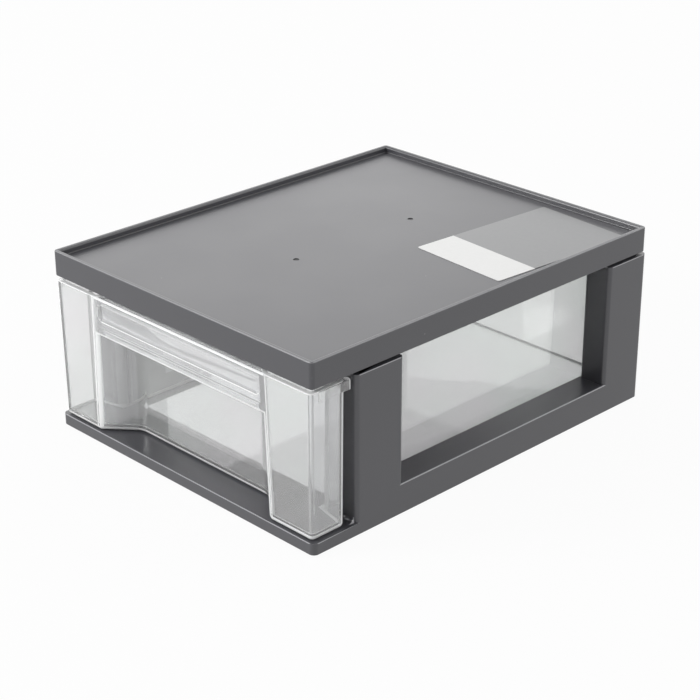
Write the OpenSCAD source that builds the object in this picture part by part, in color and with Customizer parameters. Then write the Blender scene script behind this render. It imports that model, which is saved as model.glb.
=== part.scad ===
// Stackable drawer box: an open-sided frame on two side rails, a snap-on top
// with a raised rim, and one clear drawer with a hooded handle between pillars.
// Millimetres. +Z is up, the drawer pulls out towards -Y, and the origin is at
// the centre of the footprint, on the surface that the box stands on.

/* [Base frame] */
// Width of the base frame over its side rails
base_w = 161.2; // [140:1:220]
// Depth of the base frame from front to back
base_d = 202.2; // [180:1:280]
// Radius of the base frame's upright outer corners
base_corner_r = 2.5; // [2:0.5:6]
// Height of the feet that locate the box on the one below
plinth_h = 1.2; // [0.8:0.1:2]
// How far the feet stand in from the base's outer wall
plinth_inset = 3.4; // [3:0.1:5]
// Wall left round the hollows under the sill, the rails and the posts
base_wall = 2.4; // [1.8:0.1:2.8]
// Thickness of the ribs between those hollows
base_rib_t = 1.6; // [1.2:0.1:2.4]
// Number of hollows under the sill
sill_hollows = 6; // [2:2:10]
// Number of hollows under each rail, between its posts
rail_hollows = 5; // [2:1:8]
// Thickness of the sill across the front
sill_t = 5.1; // [4:0.1:7]
// Width of the sill from front to back
sill_d = 29.6; // [26:0.2:36]
// Width of each side rail and post, seen from the front
rail_w = 13.6; // [12:0.2:18]
// Height of the side rails' outer wall
rail_h = 13.4; // [11:0.2:20]
// Width of the runner ledge inside each rail
runner_w = 6; // [4:0.5:9]
// Thickness of the runner ledge
runner_t = 2; // [1.6:0.1:3]
// Distance from the base's front edge to the front posts
post_setback = 23.1; // [20:0.1:28]
// Length of each front post along the side
front_post_l = 26; // [18:0.5:34]
// Length of each rear post along the side
rear_post_l = 25.6; // [18:0.5:34]
// Height of the posts' shoulders above the base's bottom edge
post_h = 69.5; // [60:0.5:110]
// Chamfer on each front post's inner front edge
post_chamfer = 5; // [3:0.5:6]
// Radius of the posts' other upright edges
post_edge_r = 1.9; // [0.8:0.1:2]

/* [Top] */
// How far the top's skirt stands in from the base's outer wall
top_inset = 0.6; // [0.3:0.1:1]
// Height of the top from the skirt's lower edge to the rim
top_h = 11.3; // [10:0.1:16]
// Thickness of the skirt
skirt_t = 2.2; // [1.8:0.1:2.6]
// Thickness of the top panel
panel_t = 2.2; // [1.6:0.1:3]
// Depth of the recessed panel below the rim
recess_depth = 2.9; // [2:0.1:3.4]
// Radius of the top's upright outer corners
top_corner_r = 1.8; // [1:0.2:4]
// Rounding along the rim's outer edge
rim_outer_r = 0.5; // [0.3:0.1:0.8]
// Rounding along the rim's inner edge
rim_inner_r = 1.1; // [0.6:0.1:1.3]
// Open joint between the skirt and the posts' shoulders
top_joint = 1.1; // [0.6:0.1:1.6]
// Depth of the stiffening ribs under the panel
rib_h = 2.4; // [1.5:0.1:2.6]
// Thickness of the ribs
rib_t = 1.4; // [1:0.1:2]
// Number of ribs that run from front to back
rib_count_x = 5; // [2:1:8]
// Number of ribs that run from side to side
rib_count_y = 6; // [2:1:9]

/* [Drawer] */
// How far the drawer's rim stays below the posts' shoulders
head_room = 0.7; // [0.5:0.1:6]
// Wall thickness
drawer_t = 2.2; // [1.6:0.1:2.6]
// Thickness of the drawer's floor
floor_t = 2.2; // [1.6:0.1:3]
// Draft of the walls, over the drawer's height
draft = 0.5; // [0.3:0.1:1]
// Radius of the bottom edge
drawer_edge_r = 2; // [1.4:0.2:3.6]
// How far the drawer's front stands behind the base's front edge
front_setback = 0.4; // [0.2:0.1:2]
// How far the drawer's head stands in from the base's side
head_inset = 0.8; // [0.6:0.1:4]
// Gap between the drawer's back and the base's back edge
back_gap = 1.4; // [1:0.1:4]
// Width of the finger recess at the drawer's front face
recess_front_w = 104.4; // [80:0.2:112]
// Depth of the finger recess
recess_d = 12; // [11:0.5:20]
// How much wider the recess is at the floor, on each side
recess_flare = 2; // [0:0.1:2.4]
// Height of the thickened rim band
band_h = 4.2; // [3:0.1:6]
// How far the band stands out from the wall below it
band_step = 0.5; // [0.3:0.1:0.8]
// Height of the handle's hood, from the drawer's top to the hood's lower edge
hood_h = 17.4; // [15:0.2:24]
// Thickness of the hood
hood_t = 2.6; // [2.2:0.1:3]
// Height of the finger groove along the hood
groove_h = 8; // [6:0.2:8.6]
// Depth of that groove
groove_d = 1.1; // [0.6:0.1:1.3]
// Height of each stop lug above the drawer's rim
lug_h = 3.6; // [3:0.1:4]
// Length of each stop lug
lug_l = 6; // [4:0.5:10]
// Travel of the drawer to its stop
travel = 150; // [100:1:150]

/* [Label] */
// Width of the blank label
label_w = 50; // [30:1:60]
// Length of the blank label
label_l = 77; // [50:1:84]
// Thickness of the label
label_t = 0.25; // [0.1:0.05:0.4]
// Turn of the label against the top's edges, in degrees
label_skew = -4.3; // [-6:0.1:6]
// Gap between the label's outermost corner and the rim's inner wall at the side
label_side_gap = 0.5; // [0.5:0.5:30]
// Gap between the label's rearmost corner and the rim's inner wall at the back
label_back_gap = 4.8; // [0.6:0.2:14]

/* [Clearances] */
// Running clearance round the drawer
run_gap = 0.3; // [0.2:0.05:0.5]
// Clearance between the drawer's floor and the sill it rests on
rest_gap = 0.1; // [0.05:0.05:0.5]
// Clearance between the posts' pegs and the top's skirt
peg_gap = 0.2; // [0.1:0.05:0.3]
// Gap between the drawer's head and the front posts
head_gap = 1.8; // [0.2:0.1:3]

/* [Hidden] */
$fn = 48;
arc_steps = 6;

base_z = plinth_h;
sill_z = base_z + sill_t;
rail_z = base_z + rail_h;
post_z = base_z + post_h;
skirt_z = post_z + top_joint;
rim_z = skirt_z + top_h;
panel_z = rim_z - recess_depth;
under_z = panel_z - panel_t;

half_w = base_w / 2;
half_d = base_d / 2;
inner_x = half_w - rail_w;
front_post_y = -half_d + post_setback;
rear_post_y = half_d - rear_post_l;
top_x = half_w - top_inset;
top_y = half_d - top_inset;
well_x = top_x - skirt_t;
well_y = top_y - skirt_t;
peg_x = well_x - peg_gap;
peg_y = well_y - peg_gap;

drawer_z = sill_z + rest_gap;
drawer_top = post_z - head_room;
head_x = half_w - head_inset;
face_y = -half_d + front_setback;
back_y = half_d - back_gap;
// The rim band slides between the posts, and the wall stands in behind it.
band_x = inner_x - run_gap;
body_x = band_x - 1;
recess_y = face_y + recess_d;
half_recess = recess_front_w / 2;
recess_run = 1.15 * recess_d;
hood_y = face_y + 0.1;
// The head's back closes on the front posts through the rim band.
band_back = front_post_y - head_gap;
head_back = band_back - 2.4;
shoulder_in = head_x - body_x;
lug_y = -well_y + travel + run_gap;
hood_z = drawer_top - hood_h;
// The rim's edge, and how far the band and the hood stay below the rim
rim_chamfer = 0.3;
rim_drop = 0.2;
hood_top = drawer_top - rim_drop;
// The turned label's front right corner
label_x = well_x - label_side_gap + min(0, label_l * sin(label_skew));
label_y = well_y - label_back_gap - label_l * cos(label_skew) + min(0, label_w * sin(label_skew));

// ---- outlines with rounded corners ---------------------------------------
function unit(v) = v / norm(v);
function cross2(a, b) = a[0] * b[1] - a[1] * b[0];
function at(list, i) = list[(i + len(list)) % len(list)];

// One corner of an outline moved inwards by d, from its two neighbours.
// A corner is [x, y, r], and an outline runs counter-clockwise.
function moved_in(c, i, d) =
    let (p = at(c, i - 1), q = c[i], n = at(c, i + 1),
         a = unit([q[0] - p[0], q[1] - p[1]]), b = unit([n[0] - q[0], n[1] - q[1]]),
         na = [-a[1], a[0]], nb = [-b[1], b[0]],
         m = (na + nb) / (1 + na * nb),
         turn = sign(cross2(a, b)))
    [q[0] + m[0] * d, q[1] + m[1] * d, max(q[2] - turn * d, 0.4)];
function inset_outline(c, d) = [for (i = [0:len(c) - 1]) moved_in(c, i, d)];

// The points of a rounded corner: the same number whatever its radius.
function corner_arc(p, q, n, r, steps) =
    let (u = unit([p[0] - q[0], p[1] - q[1]]), v = unit([n[0] - q[0], n[1] - q[1]]),
         half = acos(u * v) / 2,
         mid = [q[0], q[1]] + unit(u + v) * r / sin(half),
         s = [q[0], q[1]] + u * r / tan(half) - mid,
         turn = (180 - 2 * half) * sign(cross2([q[0] - p[0], q[1] - p[1]],
                                               [n[0] - q[0], n[1] - q[1]])))
    [for (k = [0:steps]) let (t = turn * k / steps)
        mid + [s[0] * cos(t) - s[1] * sin(t), s[0] * sin(t) + s[1] * cos(t)]];
function rounded(c, steps = arc_steps) =
    [for (i = [0:len(c) - 1]) each corner_arc(at(c, i - 1), c[i], at(c, i + 1), c[i][2], steps)];

// A closed solid through rings of equal length, from the lowest to the highest.
module loft(rings) {
    n = len(rings[0]);
    m = len(rings);
    polyhedron(
        points = [for (r = rings) each r],
        faces = concat(
            [[for (i = [0:n - 1]) i]],
            [for (j = [0:m - 2], i = [0:n - 1])
                [j * n + i, (j + 1) * n + i, (j + 1) * n + (i + 1) % n, j * n + (i + 1) % n]],
            [[for (i = [n - 1:-1:0]) (m - 1) * n + i]]),
        convexity = 6);
}
function ring_at(d, z) = [for (p = rounded(inset_outline(drawer_plan(z), d))) [p[0], p[1], z]];

// The right half of an outline, mirrored into the left half.
function mirrored(half) = concat(half, [for (i = [len(half) - 1:-1:0]) [-half[i][0], half[i][1], half[i][2]]]);

module round_rect(w, d, r) {
    translate([-w / 2 + r, -d / 2]) square([w - 2 * r, d]);
    translate([-w / 2, -d / 2 + r]) square([w, d - 2 * r]);
    for (sx = [-1, 1], sy = [-1, 1])
        translate([sx * (w / 2 - r), sy * (d / 2 - r)]) circle(r);
}
module both_sides() {
    children();
    mirror([1, 0, 0]) children();
}

// ---- base frame -------------------------------------------------------------
module base_outline(inset) {
    round_rect(base_w - 2 * inset, base_d - 2 * inset, max(base_corner_r - inset, 1));
}
// The base's open middle, which runs out through the back
module open_middle(r = 3) {
    y0 = -half_d + sill_d;
    translate([-inner_x + r, y0]) square([2 * (inner_x - r), base_d]);
    translate([-inner_x, y0 + r]) square([2 * inner_x, base_d]);
    for (sx = [-1, 1]) translate([sx * (inner_x - r), y0 + r]) circle(r);
}
module post(y0, l, chamfer) {
    lead_in = chamfer > 0
        ? [[inner_x, y0 + chamfer, post_edge_r], [inner_x + chamfer, y0, post_edge_r]]
        : [[inner_x, y0, post_edge_r]];
    translate([0, 0, base_z]) linear_extrude(post_h) intersection() {
        polygon(rounded(concat(lead_in, [
            [half_w, y0, post_edge_r],
            [half_w, y0 + l, post_edge_r],
            [inner_x, y0 + l, post_edge_r]])));
        base_outline(0);
    }
}
// Peg on a post's shoulder, inside the top's skirt and up to its panel
module peg(y0, y1) {
    translate([inner_x, y0, post_z - 1]) cube([peg_x - inner_x, y1 - y0, under_z - post_z + 1]);
}
// Concave fillet where a front post rises from the sill
module post_foot(r = 3) {
    w = rail_w - post_chamfer - 2;
    translate([inner_x + post_chamfer + 1, front_post_y - r, sill_z]) difference() {
        translate([0, 0, -1]) cube([w, r + 2, r + 1]);
        translate([-1, 0, r]) rotate([0, 90, 0]) cylinder(r = r, h = w + 2);
    }
}
// Hollows that open downwards, with the feet's ribs between them
module hollow(x0, x1, y0, y1, top) {
    translate([x0, y0, -1]) cube([x1 - x0, y1 - y0, top + 1]);
}
module base_hollows() {
    outer_x = half_w - base_wall;
    front_y = -half_d + base_wall;
    sill_w = (2 * inner_x - sill_hollows * base_rib_t) / sill_hollows;
    for (i = [0:sill_hollows - 1]) {
        x0 = -inner_x + base_rib_t / 2 + i * (sill_w + base_rib_t);
        hollow(x0, x0 + sill_w, front_y, -half_d + sill_d - base_wall, sill_z - base_wall);
    }
    rail_y = front_post_y + front_post_l;
    rail_l = (rear_post_y - rail_y - (rail_hollows - 1) * base_rib_t) / rail_hollows;
    cut = post_chamfer + base_wall * tan(22.5);
    both_sides() {
        hollow(inner_x + base_rib_t / 2, outer_x, front_y, front_post_y, sill_z - base_wall);
        for (i = [0:rail_hollows - 1]) {
            y0 = rail_y + i * (rail_l + base_rib_t);
            hollow(inner_x + base_wall, outer_x, y0, y0 + rail_l, rail_z - base_wall);
        }
        hollow(inner_x + base_wall, outer_x, rear_post_y + base_wall, half_d - base_wall, post_z - base_wall);
        translate([0, 0, -1]) linear_extrude(post_z - base_wall + 1) polygon([
            [inner_x + base_wall, front_post_y + cut],
            [inner_x + cut, front_post_y + base_wall],
            [outer_x, front_post_y + base_wall],
            [outer_x, rail_y - base_wall],
            [inner_x + base_wall, rail_y - base_wall]]);
    }
}
module base_frame() {
    color([0.27, 0.27, 0.28]) difference() {
        base_solid();
        base_hollows();
    }
}
module base_solid() {
    union() {
        // Sill across the front and the lowest part of the rails
        translate([0, 0, base_z]) linear_extrude(sill_t) difference() {
            base_outline(0);
            open_middle();
        }
        // Rails behind the front posts
        translate([0, 0, base_z]) linear_extrude(rail_h) intersection() {
            base_outline(0);
            both_sides() translate([inner_x, front_post_y + 8]) square([rail_w, base_d]);
        }
        // Feet
        linear_extrude(plinth_h + 1) difference() {
            base_outline(plinth_inset);
            open_middle();
        }
        both_sides() {
            // Runner ledge that carries the drawer's floor
            translate([inner_x - runner_w, -half_d + sill_d - 4, sill_z - runner_t])
                cube([runner_w + 1, base_d - sill_d + 4 - base_corner_r, runner_t]);
            post(front_post_y, front_post_l, post_chamfer);
            post(rear_post_y, rear_post_l, 0);
            peg(front_post_y + post_chamfer + 0.4, front_post_y + front_post_l - 1.6);
            peg(rear_post_y + 1.6, peg_y);
            post_foot();
        }
    }
}

// ---- top ----------------------------------------------------------------------
module top_outline(inset) {
    round_rect(2 * (top_x - inset), 2 * (top_y - inset), max(top_corner_r - inset, 0.4));
}
// Section through the skirt and rim: the outer face is at x = skirt_t
module skirt_section() {
    outer = skirt_t - rim_outer_r;
    well_fillet = 0.4;
    translate([0, skirt_z]) square([skirt_t, top_h - rim_inner_r]);
    translate([rim_inner_r, rim_z - rim_inner_r - 1]) square([outer - rim_inner_r, rim_inner_r + 1]);
    translate([rim_inner_r, rim_z - rim_inner_r]) circle(rim_inner_r);
    translate([outer - 0.1, rim_z - rim_inner_r - 1]) square([rim_outer_r + 0.1, 1 + rim_inner_r - rim_outer_r]);
    translate([outer, rim_z - rim_outer_r]) circle(rim_outer_r);
    // Small fillet at the foot of the recess
    difference() {
        translate([-well_fillet, panel_z - 0.5]) square([well_fillet + 0.5, 0.5 + well_fillet]);
        translate([-well_fillet, panel_z + well_fillet]) circle(well_fillet);
    }
}
// One corner: what of the section lies outside the corner's centre, turned round it
module skirt_corner() {
    rotate_extrude(angle = 90) intersection() {
        translate([top_corner_r - skirt_t, 0]) skirt_section();
        translate([0, skirt_z - 1]) square([top_corner_r + 1, top_h + 2]);
    }
}
// The skirt's section carried round the top: four runs and four corners
module skirt_loop() {
    for (turn = [0, 180]) rotate(turn) {
        rotate([90, 0, 0]) linear_extrude(2 * (top_y - top_corner_r), center = true)
            translate([well_x, 0]) skirt_section();
        rotate(90) rotate([90, 0, 0]) linear_extrude(2 * (top_x - top_corner_r), center = true)
            translate([well_y, 0]) skirt_section();
        translate([top_x - top_corner_r, top_y - top_corner_r]) skirt_corner();
        translate([-top_x + top_corner_r, top_y - top_corner_r]) rotate(90) skirt_corner();
    }
}
module top_panel() {
    rib_x = inner_x - 1;
    color([0.30, 0.30, 0.31]) {
        skirt_loop();
        translate([0, 0, under_z]) linear_extrude(panel_t) top_outline(skirt_t / 2);
        // Stiffening ribs under the panel, clear of the pegs
        for (i = [1:rib_count_x])
            translate([rib_x * (2 * i / (rib_count_x + 1) - 1) - rib_t / 2, -well_y - 0.5, under_z - rib_h])
                cube([rib_t, 2 * well_y + 1, rib_h + 0.5]);
        for (i = [1:rib_count_y])
            translate([-rib_x, well_y * (2 * i / (rib_count_y + 1) - 1) - rib_t / 2, under_z - rib_h])
                cube([2 * rib_x, rib_t, rib_h + 0.5]);
    }
}

// ---- drawer -------------------------------------------------------------------
// Corners of the drawer in plan: finger recess, head with its two pillars,
// shoulders that step in between the posts, and the long body
// behind. It stands out by the band's step from the wall's face at the rim,
// and at height z the recess has widened by its flare.
function drawer_plan(z = drawer_top) =
    let (edge = half_recess + recess_flare * (drawer_top - z) / (drawer_top - drawer_z))
    mirrored([
        [edge - recess_run, recess_y - band_step, 9],
        [edge, face_y - band_step, 5],
        [head_x, face_y - band_step, 2.4],
        [head_x, head_back, 2.8],
        [body_x, head_back + 0.25 * shoulder_in, 2.5],
        [body_x, back_y, 4]]);
// Rim band along the sides and back. It closes on the front posts and slides
// between them, and its front ends die inside the pillars.
band_plan = mirrored([
    [body_x - 8, band_back + 10, 1],
    [head_x - 9, face_y + 4, 1],
    [head_x, face_y + 4, 0.6],
    [head_x, band_back, 1],
    [inner_x + post_chamfer - 1.2 * run_gap, band_back, 1],
    [band_x, band_back + post_chamfer - 0.8, 1],
    [band_x, back_y, 4]]);

// Rings of one drafted side of the wall: a rounded bottom edge, then straight
// up to a narrow chamfer along the rim, which faces out (1) or in (-1)
function wall_rings(wall, z0, r, out) =
    let (steps = 4, side = band_step + wall)
    concat(
        [for (k = [0:steps]) let (a = 90 * k / steps)
            ring_at(side + draft + r * (1 - sin(a)), z0 + r * (1 - cos(a)))],
        [ring_at(side, drawer_top - rim_chamfer),
         ring_at(side + out * rim_chamfer, drawer_top)]);
// The tub's whole skin: up the outside, over the rim and down the inside
function tub() =
    let (inside = wall_rings(drawer_t, drawer_z + floor_t, max(drawer_edge_r - drawer_t, 0.8), -1))
    concat(wall_rings(0, drawer_z, drawer_edge_r, 1),
           [for (i = [len(inside) - 1:-1:0]) inside[i]]);

// The rim band in plan: a strip from the middle of the wall outwards
module band_strip() {
    difference() {
        polygon(rounded(band_plan));
        polygon(rounded(inset_outline(drawer_plan(), band_step + drawer_t / 2)));
    }
}

// The finger recess in plan, grown sideways and back into the walls by g
module recess_wedge(g) {
    slope = recess_run / recess_d;
    side = g * sqrt(1 + slope * slope);
    rear_y = recess_y + g;
    polygon([for (p = [[-1, rear_y], [-1, hood_y - 1], [1, hood_y - 1], [1, rear_y]])
        [p[0] * (half_recess + side - (p[1] - face_y) * slope), p[1]]]);
}
// The hood from the side: a ledge, a hanging face and a bead along its edge
module hood_section() {
    translate([hood_y + 0.8, hood_top - floor_t]) square([recess_d + 3, floor_t]);
    translate([hood_y, hood_z + hood_t / 2]) square([hood_t, hood_top - hood_z - hood_t / 2 - 0.8]);
    translate([hood_y + 0.8, hood_top - 0.8]) circle(0.8);
    translate([hood_y + hood_t / 2, hood_z + hood_t / 2]) circle(hood_t / 2);
    translate([hood_y + hood_t, hood_z + 1.6]) circle(1.6);
}
module hood() {
    groove_r = (pow(groove_h / 2, 2) + pow(groove_d, 2)) / (2 * groove_d);
    groove_z = drawer_top - 2.6 - groove_h / 2;
    groove_x = half_recess - groove_h / 2 - 3;
    difference() {
        intersection() {
            rotate([90, 0, 90]) linear_extrude(recess_front_w + 10, center = true) hood_section();
            linear_extrude(drawer_top + 1) recess_wedge(drawer_t / 2);
        }
        // Finger groove with round ends
        translate([0, hood_y - groove_r + groove_d, groove_z]) {
            rotate([0, 90, 0]) cylinder(r = groove_r, h = 2 * groove_x, center = true);
            for (sx = [-1, 1]) translate([sx * groove_x, 0, 0]) sphere(groove_r);
        }
    }
}
// Lug that meets the inside of the top's skirt at the end of the travel
module stop_lug() {
    translate([band_x - 2, lug_y, drawer_top]) rotate([90, 0, 90]) linear_extrude(1.8)
        polygon([[0, -1], [0, lug_h], [lug_l, lug_h], [lug_l + lug_h, -1]]);
}
module drawer() {
    color([0.86, 0.88, 0.90, 0.5]) {
        loft(tub());
        translate([0, 0, drawer_top - band_h]) linear_extrude(band_h - rim_drop) band_strip();
        hood();
        both_sides() stop_lug();
    }
}

// ---- label ----------------------------------------------------------------------
module label() {
    color([0.93, 0.93, 0.92])
        translate([label_x, label_y, panel_z]) rotate(label_skew)
            translate([-label_w, 0, 0]) cube([label_w, label_l, label_t]);
}

base_frame();
top_panel();
drawer();
label();
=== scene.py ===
import math

import bmesh
import bpy
from mathutils import Matrix, Quaternion, Vector


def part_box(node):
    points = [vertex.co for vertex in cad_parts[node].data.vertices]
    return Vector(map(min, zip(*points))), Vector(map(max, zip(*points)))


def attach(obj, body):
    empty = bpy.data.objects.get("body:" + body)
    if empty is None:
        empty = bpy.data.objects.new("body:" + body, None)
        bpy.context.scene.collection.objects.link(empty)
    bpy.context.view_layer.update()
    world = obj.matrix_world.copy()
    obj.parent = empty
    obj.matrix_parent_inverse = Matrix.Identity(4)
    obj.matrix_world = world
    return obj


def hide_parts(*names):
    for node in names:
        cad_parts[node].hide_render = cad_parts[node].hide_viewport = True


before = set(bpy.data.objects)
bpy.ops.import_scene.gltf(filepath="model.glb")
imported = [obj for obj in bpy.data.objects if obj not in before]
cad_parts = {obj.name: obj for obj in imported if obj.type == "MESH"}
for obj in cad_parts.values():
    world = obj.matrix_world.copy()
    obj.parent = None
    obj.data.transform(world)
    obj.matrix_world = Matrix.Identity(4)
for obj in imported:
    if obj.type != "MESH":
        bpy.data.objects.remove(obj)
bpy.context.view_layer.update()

MM = 0.001


def extent(node):
    """A CAD node's lowest and highest corner, in millimetres."""
    return [[round(c / MM, 2) for c in corner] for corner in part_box(node)]


# ---- sizes ----------------------------------------------------------------------
# What the frame gives: how far each moulding reaches from the middle, and its heights
_, (BASE_X, BASE_Y, UNDER) = extent("base_frame")
(_, _, SKIRT), (TOP_X, TOP_Y, RIM) = extent("top_panel")
(_, FACE, FLOOR), (HEAD_X, BACK, LUG_TOP) = extent("drawer")
(_, _, PANEL), (_, _, LABEL_TOP) = extent("label")

WALL = 2.2  # thickness of the skirt and of the drawer's walls and floor
SINK = 0.05  # how far blocks reach into one another, where they would share a plane
NEAR = 0.01  # two places closer than this are one

# Base frame
PLINTH = 1.2  # height of the foot rim
SILL = 6.3  # top of the sill
RAIL = 14.6  # top of the rails
POST = 70.7  # top of the posts
INNER_X = 67.0  # inner face of the rails and posts
SILL_BACK = -71.5  # back edge of the sill
FRONT_POST = (-78.0, -52.0)  # front and back of the front posts
REAR_POST = (75.5, BASE_Y)  # front and back of the rear posts
CHAMFER = 5.0  # on each front post's inner front edge
CORNER = 2.5  # rounding of the base's corners
MIDDLE_CORNER = 3.0  # rounding of the open middle's corners
POST_EDGE = 1.9  # rounding of the posts' other upright edges
POST_FOOT = 2.5  # fillet where a front post rises from the sill
EASE = 0.4  # easing of the long edges
SMALL_EASE = 0.45  # easing of the others, at most
SHARP = 0.58  # an edge that bends by more, in radians, is sharp
FOOT_INSET = 3.4  # how far the foot rim stands in
LEDGE_W = 6.0  # width of the ledge inside each rail
LEDGE_T = 2.0  # its thickness
PEG_GAP = 0.2  # clearance between the pegs and the skirt
HOLLOW = 2.4  # wall round the hollows underneath
HALF_RIB = 0.8  # half of a rib between them
SILL_HOLLOWS = 3  # hollows under each half of the sill
RAIL_HOLLOWS = 5  # hollows under each rail, between its posts

# Top
TOP_CORNER = 1.8  # rounding of its corners
SKIRT_EDGE = 0.3  # rounding of the skirt's foot, on both sides
RIM_OUTSIDE = 0.5  # rounding along the rim's outer edge
RIM_INSIDE = 1.1  # rounding along the rim's inner edge
RECESS_FOOT = 0.4  # fillet round the recessed panel
HALF_STIFFENER = 0.7  # half the thickness of a rib under the panel
GATES = ((-4.8, -29.6), (-4.6, 39.6))  # middles of the two gate marks
GATE = 2.6  # their width

# Drawer
TUB_TOP = 70.0  # the rim
DRAFT = 0.5  # how far a wall leans in, from the rim to the floor
STEP = 0.5  # how far the rim band stands out from the walls
BODY_X = 65.7  # side of the body
BAND_X = 66.7  # side of the band along the body
HEAD_BACK = -82.2  # back of the head with its two pillars
BAND_BACK = -79.8  # back of the head's band
RECESS = -88.7  # back of the finger recess
HALF_RECESS = 52.2  # half its width at the front
SLOPE = 1.15  # how far its sides run in for each millimetre back
FLARE = 2.0  # how much further out each side stands at the floor
BAND = 4.2  # height of the rim band
RIM_DROP = 0.2  # how far the band and the hood stay below the rim
HOOD = 17.4  # height of the hood
HOOD_X = 60.0  # half of the hood's length, before its ends are cut
HOOD_LOW = 52.0  # just below the hood
PILLAR_BACK = -85.0  # just behind the pillars' outer faces
FOOT_HIGHLIGHT = 2.4  # height of the painted white highlight along the right pillar's foot edge
EDGE = 0.75  # a face narrower than this is part of a rounded edge
HOOD_EDGE = 0.45  # the same on the hood

# Label
LABEL_W = 50.0
LABEL_L = 77.0
WHITE_PART = 21.0  # length of the part in front of the film
LABEL_SKEW = math.radians(4.3)  # its turn to the right
LABEL_TURN = Matrix.Rotation(-LABEL_SKEW, 3, "Z")

# The finishes, painted highlights and painted shadow of the top and of the drawer, by their place in the
# piece's list
SATIN, PAINTED_RIM_HIGHLIGHT, TORN = range(3)
CLEAR, PAINTED_WHITE_HIGHLIGHT, PAINTED_FAINT_HIGHLIGHT, PAINTED_FLOOR_SHADOW = range(4)


# ---- shader nodes ---------------------------------------------------------------
# Sockets whose names repeat go by number. A colour mix has its share at 0, its colours at 6
# and 7 and its output at 2. A map range has its value at 0, and then each range's two ends.
def add(tree, kind, inputs=None, **settings):
    """Adds a node with its settings, and its values or links by input."""
    node = tree.nodes.new(kind)
    for key, value in settings.items():
        setattr(node, key, value)
    for key, value in (inputs or {}).items():
        if isinstance(value, bpy.types.NodeSocket):
            tree.links.new(value, node.inputs[key])
        else:
            node.inputs[key].default_value = value
    return node


def linear(hex_code):
    """An sRGB hex colour as the linear RGBA that a shader's socket takes."""
    parts = [int(hex_code[i:i + 2], 16) / 255 for i in (0, 2, 4)]
    return (*[p / 12.92 if p <= 0.04045 else ((p + 0.055) / 1.055) ** 2.4 for p in parts], 1)


def seen_directly(tree):
    """1 for camera, mirror and see-through rays, 0 for the rays that light things."""
    path = add(tree, "ShaderNodeLightPath").outputs
    seen = path["Is Camera Ray"]
    for ray in ("Is Glossy Ray", "Is Transmission Ray"):
        seen = add(tree, "ShaderNodeMath", {0: seen, 1: path[ray]}, operation="MAXIMUM").outputs[0]
    return seen


# ---- camera, light and floor ----------------------------------------------------
def place_camera():
    lens = bpy.data.cameras.new("camera")
    lens.lens, lens.sensor_width = 94.87, 36
    lens.clip_start, lens.clip_end = 0.05, 20
    camera = bpy.data.objects.new("camera", lens)
    bpy.context.scene.collection.objects.link(camera)
    camera.location = Vector((529.43, -519.21, 369.91)) * MM
    aim = Vector((1.74, -4.38, 32.13)) * MM - camera.location
    tilt = Quaternion((0, 0, 1), -0.0026)
    camera.rotation_euler = (aim.to_track_quat("-Z", "Y") @ tilt).to_euler()
    bpy.context.scene.camera = camera


def white_tent():
    """An even white surround that looks brighter than it lights."""
    world = bpy.data.worlds.new("white_tent")
    world.use_nodes = True
    bpy.context.scene.world = world
    tree = world.node_tree
    tree.nodes.clear()
    around = add(tree, "ShaderNodeBackground", {"Color": (1, 1, 1, 1), "Strength": 0.7})
    behind = add(tree, "ShaderNodeBackground", {"Color": (1, 1, 1, 1), "Strength": 1.0})
    mixed = add(tree, "ShaderNodeMixShader",
                {0: seen_directly(tree), 1: around.outputs[0], 2: behind.outputs[0]})
    add(tree, "ShaderNodeOutputWorld", {"Surface": mixed.outputs[0]})


def soft_boxes():
    """Square lamps turned to the box: name, place and size in metres, and watts."""
    for name, place, size, power in (
        ("key_box", (-0.82, -1.28, 0.92), 0.5, 21),
        ("edge_box", (0.70, 1.05, 1.07), 0.5, 2.7),
        ("back_box", (-0.75, 1.30, 0.30), 0.8, 2.2),
        ("left_box", (-1.30, 0.80, 0.65), 0.8, 2.0),
        ("right_box", (1.25, 0.70, 0.50), 0.8, 1.2),
    ):
        lamp = bpy.data.lights.new(name, "AREA")
        lamp.size, lamp.energy = size, power
        lamp_object = bpy.data.objects.new(name, lamp)
        bpy.context.scene.collection.objects.link(lamp_object)
        lamp_object.location = place
        to_box = Vector((0, 0, 0.04)) - lamp_object.location
        lamp_object.rotation_euler = to_box.to_track_quat("-Z", "Y").to_euler()


def white_floor():
    """A floor just under the box, almost plain white to the eye, that takes a faint shadow."""
    bpy.ops.mesh.primitive_plane_add(size=6, location=(0, 0, -SINK * MM))
    floor = bpy.context.object
    floor.name = "floor"
    white, tree = new_material("studio_floor")
    lit = add(tree, "ShaderNodeBsdfDiffuse", {"Color": (0.6, 0.6, 0.6, 1)})
    plain = add(tree, "ShaderNodeEmission", {"Color": (1, 1, 1, 1), "Strength": 1.0})
    share = add(tree, "ShaderNodeMath", {0: seen_directly(tree), 1: 0.95}, operation="MULTIPLY")
    mixed = add(tree, "ShaderNodeMixShader", {0: share.outputs[0], 1: lit.outputs[0], 2: plain.outputs[0]})
    add(tree, "ShaderNodeOutputMaterial", {"Surface": mixed.outputs[0]})
    floor.data.materials.append(white)


def studio():
    bpy.context.scene.view_settings.view_transform = "Standard"
    place_camera()
    white_tent()
    soft_boxes()
    white_floor()


# ---- working by hand ------------------------------------------------------------
def put_down():
    """Leaves edit mode with nothing selected."""
    if bpy.context.object and bpy.context.object.mode != "OBJECT":
        bpy.ops.object.mode_set(mode="OBJECT")
    bpy.ops.object.select_all(action="DESELECT")


def take(piece, mode="OBJECT"):
    """Makes a piece the selected one, in the mode wanted."""
    put_down()
    bpy.context.view_layer.objects.active = piece
    piece.select_set(True)
    if mode != "OBJECT":
        bpy.ops.object.mode_set(mode=mode)


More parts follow.
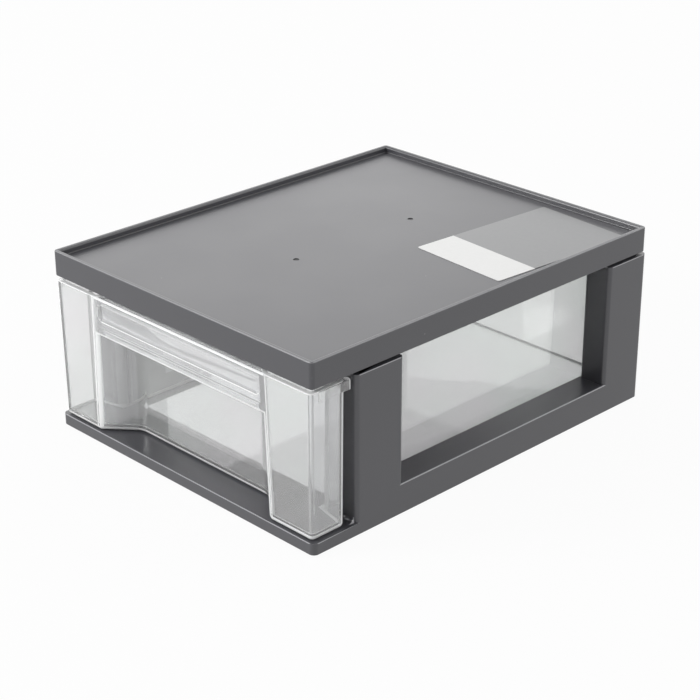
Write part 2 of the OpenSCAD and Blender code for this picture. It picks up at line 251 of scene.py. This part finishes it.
def pick(kind, wanted):
    """Selects the VERT, EDGE or FACE elements for which wanted(middle in mm, element) holds."""
    bpy.ops.mesh.select_mode(type=kind)
    bpy.ops.mesh.select_all(action="DESELECT")
    mesh = bmesh.from_edit_mesh(bpy.context.object.data)
    for e in {"VERT": mesh.verts, "EDGE": mesh.edges, "FACE": mesh.faces}[kind]:
        if kind == "FACE":
            middle = e.calc_center_bounds()
        else:
            middle = e.co if kind == "VERT" else (e.verts[0].co + e.verts[1].co) / 2
        if wanted(middle / MM, e):
            e.select_set(True)
    mesh.select_flush_mode()
    bmesh.update_edit_mesh(bpy.context.object.data)


def pick_all():
    bpy.ops.mesh.select_all(action="SELECT")


def facing(z):
    """A test for level faces at height z."""
    return lambda m, f: abs(m.z - z) < NEAR and abs(f.normal.z) > 0.9


def level(edge, z):
    """Whether an edge lies at height z."""
    return all(abs(v.co.z / MM - z) < NEAR for v in edge.verts)


def extrude(x=0, y=0, z=0):
    bpy.ops.mesh.extrude_region_move(TRANSFORM_OT_translate={"value": (x * MM, y * MM, z * MM)})


def inset(width, depth=0):
    bpy.ops.mesh.inset(thickness=width * MM, depth=depth * MM, use_even_offset=True)


def bevel(width, segments, corners=False):
    bpy.ops.mesh.bevel(offset=width * MM, segments=segments, profile=0.5,
                       affect="VERTICES" if corners else "EDGES", clamp_overlap=False)


def face_outwards():
    """Turns the whole mesh's faces to the outside."""
    pick_all()
    bpy.ops.mesh.normals_make_consistent(inside=False)


def close_corners():
    """Merges the points of each corner of the selected face, where their rounding has run out."""
    mesh = bmesh.from_edit_mesh(bpy.context.object.data)
    far = max((v.co / MM for f in mesh.faces if f.select for v in f.verts), key=lambda c: c.x + c.y)
    for sx, sy in ((-1, -1), (1, -1), (1, 1), (-1, 1)):
        pick("VERT", lambda m, v: abs(m.z - far.z) < NEAR
             and math.hypot(m.x - sx * far.x, m.y - sy * far.y) < 0.4)
        bpy.ops.mesh.merge(type="CENTER")
    pick("FACE", lambda m, f: abs(m.z - far.z) < 0.001 and f.calc_area() > 0.01)


def roll(radius, steps, way="onto", close=None):
    """A rounding worked into the selected face: from the wall "onto" the face, "over" it
    and down again, or as a fillet at its "foot". The corners close after step close."""
    angles = [math.pi / 2 * k / steps for k in range(steps + 1)]
    arc = [(radius * (1 - math.cos(a)), radius * math.sin(a)) for a in angles]
    if way == "over":
        arc = [(y, -x) for x, y in arc]
    elif way == "foot":
        arc = [(x, -y) for x, y in arc]
    for k, ((x0, y0), (x1, y1)) in enumerate(zip(arc, arc[1:])):
        inset(x1 - x0, y1 - y0)
        if k == close:
            close_corners()


def draw(name, corners, steps=6):
    """A flat face drawn corner by corner. A corner is (x, y, z, radius), and each is then rounded."""
    put_down()
    points = [Vector(c[:3]) for c in corners]
    bpy.ops.mesh.primitive_plane_add(size=MM, location=points[0] * MM)
    piece = bpy.context.object
    piece.name = name
    bpy.ops.object.transform_apply(location=True, rotation=True, scale=True)
    bpy.ops.object.mode_set(mode="EDIT")
    bpy.ops.mesh.select_mode(type="VERT")
    pick_all()
    bpy.ops.mesh.merge(type="CENTER")
    for a, b in zip(points, points[1:]):
        extrude(*(b - a))
    pick_all()
    bpy.ops.mesh.edge_face_add()
    for i, q in enumerate(points):
        radius = corners[i][3]
        if radius:
            turn = (q - points[i - 1]).angle(points[(i + 1) % len(points)] - q)
            pick("VERT", lambda m, v: (m - q).length < NEAR)
            bevel(radius * math.tan(turn / 2), steps, corners=True)
    pick_all()
    return piece


def block(name, corners, height, steps=6):
    """A drawn outline raised to a solid, its corners on the nearest tenth of a micron."""
    piece = draw(name, corners, steps)
    extrude(z=height)
    face_outwards()
    put_down()
    for v in piece.data.vertices:
        v.co = [round(c / MM, 4) * MM for c in v.co]
    return piece


def box(name, x0, x1, y0, y1, z0, z1, r=0):
    return block(name, [(x0, y0, z0, r), (x1, y0, z0, r), (x1, y1, z0, r), (x0, y1, z0, r)], z1 - z0)


def finish_with(piece, kind, **settings):
    """Adds a modifier and applies it."""
    take(piece)
    modifier = piece.modifiers.new(kind.lower(), kind)
    for key, value in settings.items():
        setattr(modifier, key, value)
    bpy.ops.object.modifier_apply(modifier=modifier.name)


def combine(piece, others, how="UNION"):
    for other in others:
        finish_with(piece, "BOOLEAN", operation=how, solver="EXACT", object=other)
        bpy.data.objects.remove(other)


def merge_flat():
    """In edit mode: merges doubles and drops the edges that flat faces don't need."""
    pick_all()
    bpy.ops.mesh.remove_doubles(threshold=0.002 * MM)
    bpy.ops.mesh.dissolve_limited(angle_limit=math.radians(0.3))


def even_shading(piece):
    """Keeps the flat faces flat beside the rounded edges."""
    finish_with(piece, "WEIGHTED_NORMAL", mode="FACE_AREA", weight=100, keep_sharp=True)


def tidy_up(piece, angle=32):
    """Cleans the mesh, and shades edges smooth that bend less than the angle."""
    take(piece, "EDIT")
    merge_flat()
    put_down()
    take(piece)
    bpy.ops.object.shade_smooth_by_angle(angle=math.radians(angle))
    even_shading(piece)


def wear(piece, materials, node, body, choose):
    """Gives a finished piece its materials and its body, hides the CAD node it stands for, and gives
    each face its material slot. choose(middle, normal, width, length) says which material a face has."""
    piece.data.materials.clear()
    for m in materials:
        piece.data.materials.append(m)
    points = piece.data.vertices
    for face in piece.data.polygons:
        longest = max((points[a].co - points[b].co).length for a, b in face.edge_keys)
        width, length = face.area / longest / MM, longest / MM
        face.material_index = int(choose(face.center / MM, face.normal, width, length))
    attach(piece, body)
    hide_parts(node)
    put_down()


# ---- materials ------------------------------------------------------------------
def new_material(name):
    material = bpy.data.materials.new(name)
    material.use_nodes = True
    tree = material.node_tree
    tree.nodes.clear()
    return material, tree


def charcoal_styrene(name, light, dark, gloss=0.5):
    # High-impact polystyrene moulded in a spark-eroded tool: a fine satin grain,
    # a soft sheen that mirrors near edges, faint flow clouds and a little dust.
    # Lighter copies of it paint highlights along its edges, and its gate marks are torn and dull.
    material, tree = new_material(name)
    place = add(tree, "ShaderNodeTexCoord").outputs["Object"]
    # Flow clouds some 36 mm across
    clouds = add(tree, "ShaderNodeTexNoise", {
        "Vector": place, "Scale": 28.0, "Detail": 3.0, "Roughness": 0.55}).outputs["Fac"]
    # The real grain is about 0.05 mm; it is drawn at 0.4 mm, so that it shows
    grain = add(tree, "ShaderNodeTexNoise", {
        "Vector": place, "Scale": 2500.0, "Detail": 2.0, "Roughness": 0.6})
    # Dust specks 0.3 mm across, some 14 mm apart
    specks = add(tree, "ShaderNodeTexVoronoi", {"Vector": place, "Scale": 70.0}, feature="F1")
    dust = add(tree, "ShaderNodeMapRange", {
        0: specks.outputs["Distance"], 1: 0.012, 2: 0.022, 3: 0.45, 4: 0.0})
    flow = add(tree, "ShaderNodeMix", {0: clouds, 6: linear(dark), 7: linear(light)}, data_type="RGBA")
    dusty = add(tree, "ShaderNodeMix", {
        0: dust.outputs[0], 6: flow.outputs[2], 7: linear("A9A9AB")}, data_type="RGBA")
    sheen = add(tree, "ShaderNodeMapRange", {0: clouds, 1: 0.0, 2: 1.0, 3: 0.30, 4: 0.38})
    relief = add(tree, "ShaderNodeBump", {
        "Height": grain.outputs["Fac"], "Strength": 0.12, "Distance": 0.00006})
    skin = add(tree, "ShaderNodeBsdfPrincipled", {
        "Base Color": dusty.outputs[2], "Roughness": sheen.outputs[0], "IOR": 1.7,
        "Specular IOR Level": gloss, "Normal": relief.outputs[0]})
    add(tree, "ShaderNodeOutputMaterial", {"Surface": skin.outputs[0]})
    return material


def clear_styrene(name, through, cool, warm):
    # General-purpose polystyrene from a polished tool: water clear, with walls that
    # are very slightly wavy. Whiter, less clear copies of it paint highlights on its rounded edges.
    material, tree = new_material(name)
    place = add(tree, "ShaderNodeTexCoord").outputs["Object"]
    # Waves some 22 mm long
    waves = add(tree, "ShaderNodeTexNoise", {
        "Vector": place, "Scale": 45.0, "Detail": 2.0}).outputs["Fac"]
    # Stress colours, two faint tints in patches some 40 mm across
    stress = add(tree, "ShaderNodeTexNoise", {"Vector": place, "Scale": 24.0, "Detail": 1.0})
    patches = add(tree, "ShaderNodeMapRange", {0: stress.outputs["Fac"], 1: 0.35, 2: 0.65})
    tint = add(tree, "ShaderNodeMix", {
        0: patches.outputs[0], 6: linear(cool), 7: linear(warm)}, data_type="RGBA")
    smears = add(tree, "ShaderNodeMapRange", {0: waves, 1: 0.0, 2: 1.0, 3: 0.0, 4: 0.015})
    relief = add(tree, "ShaderNodeBump", {"Height": waves, "Strength": 0.15, "Distance": 0.0002})
    skin = add(tree, "ShaderNodeBsdfPrincipled", {
        "Base Color": tint.outputs[2], "Roughness": smears.outputs[0], "IOR": 1.59,
        "Transmission Weight": through, "Normal": relief.outputs[0]})
    add(tree, "ShaderNodeOutputMaterial", {"Surface": skin.outputs[0]})
    return material


def label_stock(name, light, dark, rough):
    # Self-adhesive film, calendered: an even colour with a faint mottle and a soft gloss.
    material, tree = new_material(name)
    place = add(tree, "ShaderNodeTexCoord").outputs["Object"]
    # Mottles under 2 mm across
    mottle = add(tree, "ShaderNodeTexNoise", {
        "Vector": place, "Scale": 600.0, "Detail": 3.0}).outputs["Fac"]
    tint = add(tree, "ShaderNodeMix", {0: mottle, 6: linear(light), 7: linear(dark)}, data_type="RGBA")
    relief = add(tree, "ShaderNodeBump", {"Height": mottle, "Strength": 0.1, "Distance": 0.00003})
    skin = add(tree, "ShaderNodeBsdfPrincipled", {
        "Base Color": tint.outputs[2], "Roughness": rough, "IOR": 1.5, "Normal": relief.outputs[0]})
    add(tree, "ShaderNodeOutputMaterial", {"Surface": skin.outputs[0]})
    return material


# ---- base frame -----------------------------------------------------------------
def sill_plate():
    """The sill and the plate under the rail: the right half, from the middle outwards."""
    return block("base_moulding", [
        (0, -BASE_Y, PLINTH, 0), (BASE_X, -BASE_Y, PLINTH, CORNER), (BASE_X, BASE_Y, PLINTH, 0),
        (INNER_X, BASE_Y, PLINTH, 0), (INNER_X, SILL_BACK, PLINTH, MIDDLE_CORNER),
        (0, SILL_BACK, PLINTH, 0)], SILL - PLINTH)


def rail():
    """The rail, which starts inside the sill plate and the front post, its outer edge eased."""
    low, front = 3, SILL_BACK + 0.5
    piece = box("rail", INNER_X, BASE_X, front, BASE_Y, low, RAIL)
    take(piece, "EDIT")
    pick("EDGE", lambda m, e: level(e, RAIL) and m.x > BASE_X - NEAR)
    bevel(EASE, 2)
    put_down()
    return piece


def posts():
    """The posts, which start inside the sill plate and the rail. The rear one's corner is
    still square."""
    r = POST_EDGE
    y0, y1 = FRONT_POST
    z = 3
    front = block("front_post", [
        (INNER_X, y0 + CHAMFER, z, r), (INNER_X + CHAMFER, y0, z, r), (BASE_X, y0, z, r),
        (BASE_X, y1, z, r), (INNER_X, y1, z, r)], POST - z)
    y0, y1 = REAR_POST
    z = 4
    rear = block("rear_post", [
        (INNER_X, y0, z, r), (BASE_X, y0, z, r), (BASE_X, y1, z, 0), (INNER_X, y1, z, r)], POST - z)
    return [front, rear]


def pegs():
    """A peg on each post, up to the top's panel and inside its skirt."""
    x0, x1, low = INNER_X + PEG_GAP, TOP_X - WALL - PEG_GAP, POST - 1
    front, back = FRONT_POST[0] + CHAMFER + 0.4, TOP_Y - WALL - PEG_GAP
    setback, rounding = 1.6, 0.6
    return [box("peg", x0, x1, front, FRONT_POST[1] - setback, low, UNDER, rounding),
            box("peg", x0, x1, REAR_POST[0] + setback, back, low, UNDER, rounding)]


def runner_ledge():
    """The ledge inside the rail that the drawer's floor slides on."""
    front, back = SILL_BACK - 4, BASE_Y - 4
    return box("runner_ledge", INNER_X - LEDGE_W, INNER_X + 1, front, back, SILL - LEDGE_T, SILL - SINK)


def foot_rim():
    """The rim under the plate that finds its place in the top of the box below."""
    x, y, inside, back = BASE_X - FOOT_INSET, BASE_Y - FOOT_INSET, INNER_X + SINK, SILL_BACK - SINK
    return block("feet", [
        (0, -y, 0, 0), (x, -y, 0, 1), (x, y, 0, 1), (inside, y, 0, 0), (inside, back, 0, MIDDLE_CORNER),
        (0, back, 0, 0)], PLINTH + 0.8)


def base_hollows():
    """Cutters for the hollows that open downwards, with ribs between: under the sill, the
    plate beside it, the rail, the rear post and the front post."""
    below = -1
    x0, x1, top = INNER_X + HOLLOW, BASE_X - HOLLOW, POST - HOLLOW
    (front, front_end), (rear, _) = FRONT_POST, REAR_POST
    pitch = INNER_X / SILL_HOLLOWS
    cutters = [box("hollow", pitch * k + HALF_RIB, pitch * (k + 1) - HALF_RIB,
                   HOLLOW - BASE_Y, SILL_BACK - HOLLOW, below, SILL - HOLLOW) for k in range(SILL_HOLLOWS)]
    cutters.append(box("hollow", INNER_X + HALF_RIB, x1, HOLLOW - BASE_Y, front, below, SILL - HOLLOW))
    pitch = (rear - front_end + 2 * HALF_RIB) / RAIL_HOLLOWS
    cutters += [box("hollow", x0, x1, front_end + pitch * k, front_end + pitch * (k + 1) - 2 * HALF_RIB,
                    below, RAIL - HOLLOW) for k in range(RAIL_HOLLOWS)]
    cutters.append(box("hollow", x0, x1, rear + HOLLOW, BASE_Y - HOLLOW, below, top))
    # The front post's hollow has the post's chamfer, one wall further in
    cut = CHAMFER + HOLLOW * math.tan(math.pi / 8)
    y0, y1 = front + HOLLOW, front_end - HOLLOW
    cutters.append(block("hollow", [
        (x0, front + cut, below, 0), (INNER_X + cut, y0, below, 0), (x1, y0, below, 0),
        (x1, y1, below, 0), (x0, y1, below, 0)], top - below))
    return cutters


def make_base():
    # The right half is built and mirrored. The rear corner is rounded once all is joined.
    base = sill_plate()
    combine(base, [rail(), *posts(), *pegs(), runner_ledge(), foot_rim()])
    combine(base, base_hollows(), "DIFFERENCE")
    take(base, "EDIT")
    merge_flat()
    pick("EDGE", lambda m, e: m.x > BASE_X - NEAR and m.y > BASE_Y - NEAR
         and abs(e.verts[0].co.z - e.verts[1].co.z) > MM)
    bevel(CORNER, 6)
    # Fillet where the front post rises from the sill
    pick("EDGE", lambda m, e: level(e, SILL) and abs(m.y - FRONT_POST[0]) < 0.05
         and m.x > INNER_X + CHAMFER)
    bevel(POST_FOOT, 4)
    # Eased long edges of the sill and the posts
    pick("EDGE", lambda m, e: e.calc_length() > 6 * MM and e.is_convex and e.calc_face_angle(0) > SHARP
         and min(v.co.z for v in e.verts) > (SILL - NEAR) * MM and m.x > NEAR and not level(e, RAIL))
    bevel(EASE, 2)
    pick("FACE", lambda m, f: abs(m.x) < NEAR and abs(f.normal.x) > 0.9)
    bpy.ops.mesh.delete(type="FACE")
    put_down()
    finish_with(base, "MIRROR", use_axis=(True, False, False), use_mirror_merge=True,
                merge_threshold=NEAR * MM)
    tidy_up(base)
    # The edges that are still sharp are eased as far as their neighbours let them
    finish_with(base, "BEVEL", width=SMALL_EASE * MM, segments=2,
                limit_method="ANGLE", angle_limit=math.radians(33))
    tidy_up(base, 40)
    return base


def base_finish(m, n, width, length):
    """0, satin, and 1, a lighter copy as a painted highlight, on the eased edges."""
    return width < 0.45


# ---- top ------------------------------------------------------------------------
def gate_pits():
    """Cutters for the gate marks, shallow round pits where the top was filled."""
    pits = []
    for x, y in GATES:
        bpy.ops.mesh.primitive_cylinder_add(
            vertices=32, radius=GATE / 2 * MM, depth=1 * MM, location=Vector((x, y, PANEL + 0.25)) * MM)
        pits.append(bpy.context.object)
        bpy.ops.object.transform_apply(location=True, rotation=True, scale=True)
        put_down()
    return pits


def rib_run(count, reach, half, depth, lengthways):
    """A run of stiffening ribs under the panel, front to back or side to side, evenly
    spread over the reach: the first is modelled, and the others are its copies."""
    step = 2 * reach / (count + 1)
    first = step - reach
    across, along = (first - HALF_STIFFENER, first + HALF_STIFFENER), (-half, half)
    (x0, x1), (y0, y1) = (across, along) if lengthways else (along, across)
    rib = box("rib", x0, x1, y0, y1, UNDER - depth, UNDER + 0.4)
    take(rib, "EDIT")
    pick("EDGE", lambda m, e: level(e, UNDER - depth))
    bevel(0.3, 2)
    put_down()
    ribs = [rib]
    shift = Matrix.Translation((step * MM, 0, 0) if lengthways else (0, step * MM, 0))
    for _ in range(count - 1):
        rib = ribs[-1].copy()
        rib.data = ribs[-1].data.copy()
        bpy.context.scene.collection.objects.link(rib)
        rib.data.transform(shift)
        ribs.append(rib)
    return ribs


def make_top():
    top = box("top_cover", -TOP_X, TOP_X, -TOP_Y, TOP_Y, SKIRT + SKIRT_EDGE, RIM - RIM_OUTSIDE, TOP_CORNER)
    take(top, "EDIT")
    # The skirt's foot, rounded on both sides, and its inside up to the panel
    run_out = 1.4
    pick("FACE", facing(SKIRT + SKIRT_EDGE))
    roll(SKIRT_EDGE, 2)
    inset(run_out)
    close_corners()
    inset(WALL - 2 * SKIRT_EDGE - run_out)
    roll(SKIRT_EDGE, 2, "over")
    extrude(z=UNDER - SKIRT - SKIRT_EDGE)
    # Rounded rim, then the recess, with a small fillet at its foot
    pick("FACE", facing(RIM - RIM_OUTSIDE))
    roll(RIM_OUTSIDE, 4)
    inset(WALL - RIM_OUTSIDE - RIM_INSIDE)
    roll(RIM_INSIDE, 6, "over", close=1)
    extrude(z=PANEL - RIM + RIM_INSIDE + RECESS_FOOT)
    roll(RECESS_FOOT, 3, "foot")
    put_down()
    combine(top, gate_pits(), "DIFFERENCE")
    ribs = [*rib_run(count=5, reach=66.0, half=98.1, depth=2.4, lengthways=True),
            *rib_run(count=6, reach=98.3, half=66.0, depth=2.3, lengthways=False)]
    take(top)
    for rib in ribs:
        rib.select_set(True)
    bpy.ops.object.join()
    tidy_up(top, 40)
    return top


def top_finish(m, n, width, length):
    """Torn in the gate marks, and a lighter painted highlight where the rim's outer edge turns into its
    top.
    """
    in_gate = any(math.hypot(m.x - x, m.y - y) < GATE / 2 + NEAR for x, y in GATES)
    if in_gate and PANEL - 0.5 < m.z < PANEL - NEAR:
        return TORN
    outside = max(abs(m.x) - TOP_X, abs(m.y) - TOP_Y) > -RIM_OUTSIDE
    return PAINTED_RIM_HIGHLIGHT if outside and width < 0.4 and m.z > RIM - RIM_OUTSIDE / 2 else SATIN


# ---- clear drawer ---------------------------------------------------------------
def both(half):
    """Corners of the right half, with the left half's."""
    return half + [(-c[0], *c[1:]) for c in reversed(half)]


def plan(inward, z):
    """The drawer in plan at its rim, moved in from its widest outline: recess, pillars, shoulders
    and body. A corner is (x, y, radius) as it is drawn, and has its height too as it is given back."""
    front, recess = FACE - STEP, RECESS - STEP
    corners = both([
        (HALF_RECESS - (RECESS - FACE) * SLOPE, recess, 9.0), (HALF_RECESS, front, 5.0),
        (HEAD_X, front, 2.4), (HEAD_X, HEAD_BACK, 2.8),
        (BODY_X, HEAD_BACK + 3.5, 2.5), (BODY_X, BACK, 4.0)])
    moved = []
    for i, (x, y, radius) in enumerate(corners):
        here = Vector((x, y))
        a = (here - Vector(corners[i - 1][:2])).normalized()
        b = (Vector(corners[(i + 1) % len(corners)][:2]) - here).normalized()
        away = Vector((-a.y - b.y, a.x + b.x)) / (1 + a.dot(b))
        radius = max(radius - math.copysign(inward, a.cross(b)), 0.4)
        moved.append((*(here + away * inward), z, radius))
    return moved


def shell(name, inward, floor, edge):
    """One skin of the tub, open at the top: the plan at the rim, drafted down to its floor,
    with upright edges rounded as in the plan and the floor's edge rounded as given."""
    sharp = [(*c[:3], 0) for c in plan(inward, TUB_TOP)]
    skin = draw(name, sharp)
    mesh = bmesh.from_edit_mesh(skin.data)
    if next(iter(mesh.faces)).normal.z > 0:
        bpy.ops.mesh.flip_normals()
    inset(DRAFT, TUB_TOP - floor)
    # The recess's corners spread at the floor
    for side in (-1, 1):
        pick("VERT", lambda m, v: abs(m.z - floor) < NEAR and 20 < side * m.x < 60)
        bpy.ops.transform.translate(value=(side * FLARE * MM, 0, 0))
    put_down()
    # How far each upright edge is rounded off along its faces
    reach = []
    for i, (x, y, _, radius) in enumerate(plan(inward, 0)):
        a = Vector((x, y)) - Vector(sharp[i - 1][:2])
        b = Vector(sharp[(i + 1) % len(sharp)][:2]) - Vector((x, y))
        reach.append(radius * math.tan(a.angle(b) / 2))
    # One bevel rounds all the edges, each by its weight
    widest = 6.0
    take(skin, "EDIT")
    mesh = bmesh.from_edit_mesh(skin.data)
    weight = mesh.edges.layers.float.new("bevel_weight_edge")
    for e in mesh.edges:
        low, high = sorted((v.co / MM for v in e.verts), key=lambda c: c.z)
        if high.z - low.z > 10:
            nearest = min(range(len(sharp)), key=lambda i: (Vector(sharp[i][:2]) - high.xy).length)
            e[weight] = reach[nearest] / widest
        elif high.z < TUB_TOP - 1:
            e[weight] = edge / widest
    bmesh.update_edit_mesh(skin.data)
    put_down()
    finish_with(skin, "BEVEL", width=widest * MM, segments=6, limit_method="WEIGHT",
                use_clamp_overlap=False)
    return skin


def walls():
    """Outer and inner skin, joined round the rim, whose edges are then eased."""
    tub = shell("drawer_moulding", STEP, FLOOR, edge=2.0)
    inside = shell("inside", STEP + WALL, FLOOR + WALL, edge=0.8)
    take(tub)
    inside.select_set(True)
    bpy.ops.object.join()
    take(tub, "EDIT")
    pick("EDGE", lambda m, e: e.is_boundary)
    bpy.ops.mesh.fill()
    face_outwards()
    pick("EDGE", lambda m, e: level(e, TUB_TOP) and any(abs(f.normal.z) > 0.7 for f in e.link_faces)
         and any(abs(f.normal.z) < 0.3 for f in e.link_faces))
    bevel(0.35, 2)
    put_down()
    return tub


def rim_band():
    """The band along the sides and the back, from the middle of the wall outwards."""
    low = TUB_TOP - BAND
    front = FACE + 4
    band = block("rim_band", both([
        (BODY_X - 8, BAND_BACK + 10, low, 0), (HEAD_X - 9, front, low, 0), (HEAD_X, front, low, 0.6),
        (HEAD_X, BAND_BACK, low, 1), (71.6, BAND_BACK, low, 1), (BAND_X, BAND_BACK + 4.2, low, 1),
        (BAND_X, BACK, low, 4)]), BAND - RIM_DROP)
    combine(band, [block("band_hollow", plan(STEP + WALL / 2, low - 5), 20)], "DIFFERENCE")
    return band


def finger_groove(front):
    """A round-ended cutter, from a ball whose halves are drawn apart. Its cut is 8 mm high."""
    radius, depth, middle, apart = 7.82, 1.1, TUB_TOP - 6.6, 47.5
    bpy.ops.mesh.primitive_uv_sphere_add(
        segments=64, ring_count=33, radius=radius * MM, rotation=(0, math.pi / 2, 0),
        location=Vector((0, front - radius + depth, middle)) * MM)
    cutter = bpy.context.object
    bpy.ops.object.transform_apply(location=True, rotation=True, scale=True)
    take(cutter, "EDIT")
    for side in (-1, 1):
        pick("VERT", lambda m, v: side * m.x > 0)
        bpy.ops.transform.translate(value=(side * apart * MM, 0, 0))
    put_down()
    return cutter


def hood():
    """The hood over the finger recess: its section carried across, then mitred into the pillars.
    The section is a ledge at the rim, a hanging face and a bead along the face's foot."""
    front, foot, top = FACE + 0.1, TUB_TOP - HOOD, TUB_TOP - RIM_DROP
    ledge_back, ledge_foot = RECESS + WALL / 2, top - 2.2
    face_back, bead_back = front + 2.6, front + 4.2
    section = [
        (front, top, 0.8), (ledge_back, top, 0), (ledge_back, ledge_foot, 0),
        (face_back, ledge_foot, 1.0), (face_back, foot + 3.6, 0.6), (bead_back, foot + 2.6, 0.8),
        (bead_back, foot, 1.2), (front, foot, 1.3)]
    piece = draw("hood", [(-HOOD_X, *corner) for corner in section], 5)
    extrude(x=2 * HOOD_X)
    face_outwards()
    # It ends in the middle of the recess's side walls
    end = HALF_RECESS + WALL / 2 * math.hypot(1, SLOPE)
    for side in (-1, 1):
        pick_all()
        bpy.ops.mesh.bisect(plane_co=(side * end * MM, FACE * MM, 0), plane_no=(side, SLOPE, 0),
                            use_fill=True, clear_outer=True)
    put_down()
    combine(piece, [finger_groove(front)], "DIFFERENCE")
    return piece


def stop_lugs():
    """Two lugs on the rim, upright in front and sloped behind, that stop the drawer at the skirt."""
    low, front, back, back_foot = TUB_TOP - 1, 52, 58, 61.6
    lugs = []
    for side in (-1, 1):
        x = side * (BAND_X - 2)
        lug = draw("stop_lug", [
            (x, front, low, 0), (x, front, LUG_TOP, 0.5), (x, back, LUG_TOP, 0.5),
            (x, back_foot, low, 0)], 3)
        extrude(x=side * 1.8)
        face_outwards()
        put_down()
        lugs.append(lug)
    return lugs


def make_drawer():
    tub = walls()
    combine(tub, [rim_band(), hood(), *stop_lugs()])
    tidy_up(tub, 34)
    # A line round the right pillar's foot, up to which its edge gets a painted white highlight
    take(tub, "EDIT")
    pick("FACE", lambda m, f: m.x > 40 and m.y < PILLAR_BACK)
    bpy.ops.mesh.bisect(plane_co=(0, 0, (FLOOR + FOOT_HIGHLIGHT) * MM), plane_no=(0, 0, 1))
    put_down()
    even_shading(tub)
    return tub


def drawer_finish(m, n, width, length):
    """A painted white highlight on the rim, the edges and the right pillar's foot, a fainter painted
    highlight on the pillars' sides and the hood, a painted shadow greying the floor, and clear elsewhere."""
    on_rim = n.z > 0.9 and abs(m.z - TUB_TOP) < NEAR
    on_floor = abs(n.z) > 0.9 and m.z < 12 and width > 20
    on_pillar = m.y < PILLAR_BACK
    painted_foot = on_pillar and m.x > 40 and m.z < FLOOR + FOOT_HIGHLIGHT and n.x - n.y > 0.9
    # The rim and the right pillar's foot get the painted white highlight
    if on_rim or painted_foot:
        return PAINTED_WHITE_HIGHLIGHT
    # The floor is greyed with a painted shadow
    if on_floor:
        return PAINTED_FLOOR_SHADOW
    # A pillar's upright faces that don't look to the front, and the edge of the right corner, get the
    # fainter painted highlight
    if on_pillar and m.x > -70 and length > 30:
        right_corner = m.x > 70 and m.y < -90
        sideways = max(abs(n.y), 3 * abs(n.z)) < 0.9
        faint_highlight = right_corner if width < EDGE else sideways
        if faint_highlight:
            return PAINTED_FAINT_HIGHLIGHT
    on_hood = abs(m.x) < HOOD_X and m.y < RECESS + 1 and m.z > HOOD_LOW
    if width < (HOOD_EDGE if on_hood else EDGE):
        return PAINTED_WHITE_HIGHLIGHT
    return PAINTED_FAINT_HIGHLIGHT if on_hood else CLEAR


# ---- label ----------------------------------------------------------------------
def on_label(x, y):
    """A place on the label, measured from its front right corner, as a place on the box."""
    low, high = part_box("label")
    corner = Vector((high.x / MM - LABEL_L * math.sin(LABEL_SKEW), low.y / MM, 0))
    return corner + LABEL_TURN @ Vector((x, y, 0))


def make_label():
    places = [on_label(x, y) for x, y in ((-LABEL_W, 0), (0, 0), (0, LABEL_L), (-LABEL_W, LABEL_L))]
    label = block("blank_label", [(x, y, PANEL, 1.0) for x, y, _ in places], LABEL_TOP - PANEL, 4)
    take(label, "EDIT")
    pick("EDGE", lambda m, e: level(e, LABEL_TOP))
    bevel(0.08, 2)
    # The line between its white part and its film
    pick_all()
    bpy.ops.mesh.bisect(plane_co=on_label(0, WHITE_PART) * MM, plane_no=LABEL_TURN @ Vector((0, 1, 0)))
    put_down()
    return label


def label_finish(m, n, width, length):
    """0 on the white part in front, and 1 on the film."""
    return (m - on_label(0, WHITE_PART)).dot(LABEL_TURN @ Vector((0, 1, 0))) > 0


# ---- the whole box --------------------------------------------------------------
studio()

satin = charcoal_styrene("satin_impact_polystyrene", "3E3E43", "3A3A3E")
# A lighter copy that paints a highlight along the rim's outer edge
painted_rim_highlight = charcoal_styrene("charcoal_painted_rim_highlight", "7A7A7D", "747477")
torn = charcoal_styrene("torn_polystyrene_gates", "202022", "1C1C1E", gloss=0.15)
# A lighter copy that paints highlights along the base's eased edges
painted_edge_highlight = charcoal_styrene("charcoal_painted_edge_highlight", "A2A2A5", "9A9A9D")
wear(make_base(), [satin, painted_edge_highlight], "base_frame", "cabinet", base_finish)
wear(make_top(), [satin, painted_rim_highlight, torn], "top_panel", "cabinet", top_finish)

clear = [clear_styrene("clear_crystal_polystyrene", 0.86, "FAFCFB", "FCFBFC"),
         # Whiter, less clear copy: painted white highlight on the rim, rounded edges and pillar foot
         clear_styrene("clear_painted_white_highlight", 0.22, "FDFDFD", "FBFDFD"),
         # Slightly less clear copy: fainter painted highlight on the pillars' sides and the hood
         clear_styrene("clear_painted_faint_highlight", 0.77, "FAFBFC", "FBFBFC"),
         # Greyer copy: painted shadow of the box on the table, seen through the drawer's floor
         clear_styrene("clear_painted_floor_shadow", 0.87, "D8DBDA", "DADADB")]
wear(make_drawer(), clear, "drawer", "drawer", drawer_finish)

label = make_label()
stocks = [label_stock("white_label_paper", "DCDCDB", "D6D6D5", 0.55),
          label_stock("smoke_label_film", "808182", "7A7A7B", 0.36)]
wear(label, stocks, "label", "cabinet", label_finish)
